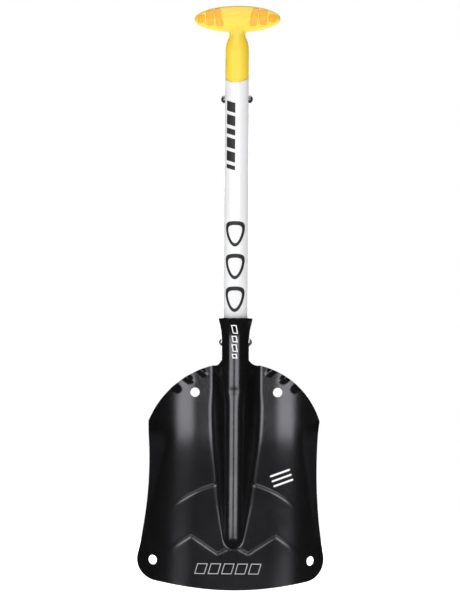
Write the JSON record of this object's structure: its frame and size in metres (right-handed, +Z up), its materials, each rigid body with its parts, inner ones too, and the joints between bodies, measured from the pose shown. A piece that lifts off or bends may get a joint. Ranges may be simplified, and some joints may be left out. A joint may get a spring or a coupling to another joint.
{
  "type": "avalanche shovel",
  "caption": "Telescopic avalanche shovel with a ridged pressed scoop blade, flared socket, white shaft, spring buttons and a T-shaped grip.",
  "frame": {"origin": "on the shaft axis at the height of the blade's tip", "axes": "+Z up the shaft from blade to grip, -Y towards the scoop side, +X to the right seen from the scoop side"},
  "size_m": [0.2262, 0.0726, 0.7154],
  "materials": {
    "blade_anodised": "black hard-anodised pressed sheet, satin, fine grain",
    "socket_anodised": "black anodised tube, smoother than the sheet",
    "weld_seam": "anodised over a rippled weld bead",
    "shaft_coating": "white gloss coating with dark printed marks",
    "plug_plastic": "moulded black plastic",
    "inner_alloy": "bare drawn alloy tube",
    "grip_yellow": "yellow moulded plastic, satin",
    "grip_amber": "amber soft rubber",
    "pin_steel": "steel pin",
    "spring_steel": "bent spring steel strip",
    "button_dark": "black oxide steel, polished dome",
    "button_bright": "bright steel, worn dome"
  },
  "bodies": {
    "blade": {"blade": "blade_anodised", "socket_tube": "socket_anodised", "socket_welds": "weld_seam"},
    "outer_shaft": {"outer_shaft": "shaft_coating", "shaft_end_plug": "plug_plastic", "lower_lock_spring": "spring_steel"},
    "inner_shaft": {"inner_tube": "inner_alloy", "inner_glide": "plug_plastic", "t_grip": "grip_yellow", "grip_pads_left": "grip_amber", "grip_pads_right": "grip_amber", "grip_pin": "pin_steel", "upper_lock_spring": "spring_steel", "extension_lock_spring": "spring_steel"},
    "upper_button_left": {"upper_button_left": "button_dark"},
    "upper_button_right": {"upper_button_right": "button_dark"},
    "lower_button_left": {"lower_button_left": "button_bright"},
    "lower_button_right": {"lower_button_right": "button_bright"},
    "extension_button_left": {"extension_button_left": "button_dark"},
    "extension_button_right": {"extension_button_right": "button_dark"}
  },
  "joints": [
    {"name": "shaft_slide", "type": "slide", "parent": "blade", "child": "outer_shaft", "axis": [0, 0, 1], "range_m": [0, 0.1], "deforming": ["lower_button_left", "lower_button_right"]},
    {"name": "telescope_slide", "type": "slide", "parent": "outer_shaft", "child": "inner_shaft", "axis": [0, 0, 1], "range_m": [0, 0.21], "deforming": ["upper_button_left", "upper_button_right", "extension_button_left", "extension_button_right", "extension_lock_spring"]},
    {"name": "upper_button_left_press", "type": "slide", "parent": "inner_shaft", "child": "upper_button_left", "axis": [1, 0, 0], "range_m": [0, 0.0068], "stiffness_N_per_m": 900, "springref_m": -0.004, "deforming": ["upper_lock_spring"]},
    {"name": "lower_button_left_press", "type": "slide", "parent": "outer_shaft", "child": "lower_button_left", "axis": [1, 0, 0], "range_m": [0, 0.0056], "stiffness_N_per_m": 900, "springref_m": -0.004, "deforming": ["lower_lock_spring"]},
    {"name": "extension_button_left_travel", "type": "slide", "parent": "inner_shaft", "child": "extension_button_left", "axis": [-1, 0, 0], "range_m": [0, 0.0068]},
    {"name": "upper_button_right_press", "type": "slide", "parent": "inner_shaft", "child": "upper_button_right", "axis": [-1, 0, 0], "range_m": [0, 0.0068], "stiffness_N_per_m": 900, "springref_m": -0.004},
    {"name": "lower_button_right_press", "type": "slide", "parent": "outer_shaft", "child": "lower_button_right", "axis": [-1, 0, 0], "range_m": [0, 0.0056], "stiffness_N_per_m": 900, "springref_m": -0.004},
    {"name": "extension_button_right_travel", "type": "slide", "parent": "inner_shaft", "child": "extension_button_right", "axis": [1, 0, 0], "range_m": [0, 0.0068]}
  ],
  "couplings": [
    {"joint": "extension_button_left_travel", "follows": "telescope_slide", "ratio": 0.03238},
    {"joint": "extension_button_right_travel", "follows": "telescope_slide", "ratio": 0.03238}
  ]
}
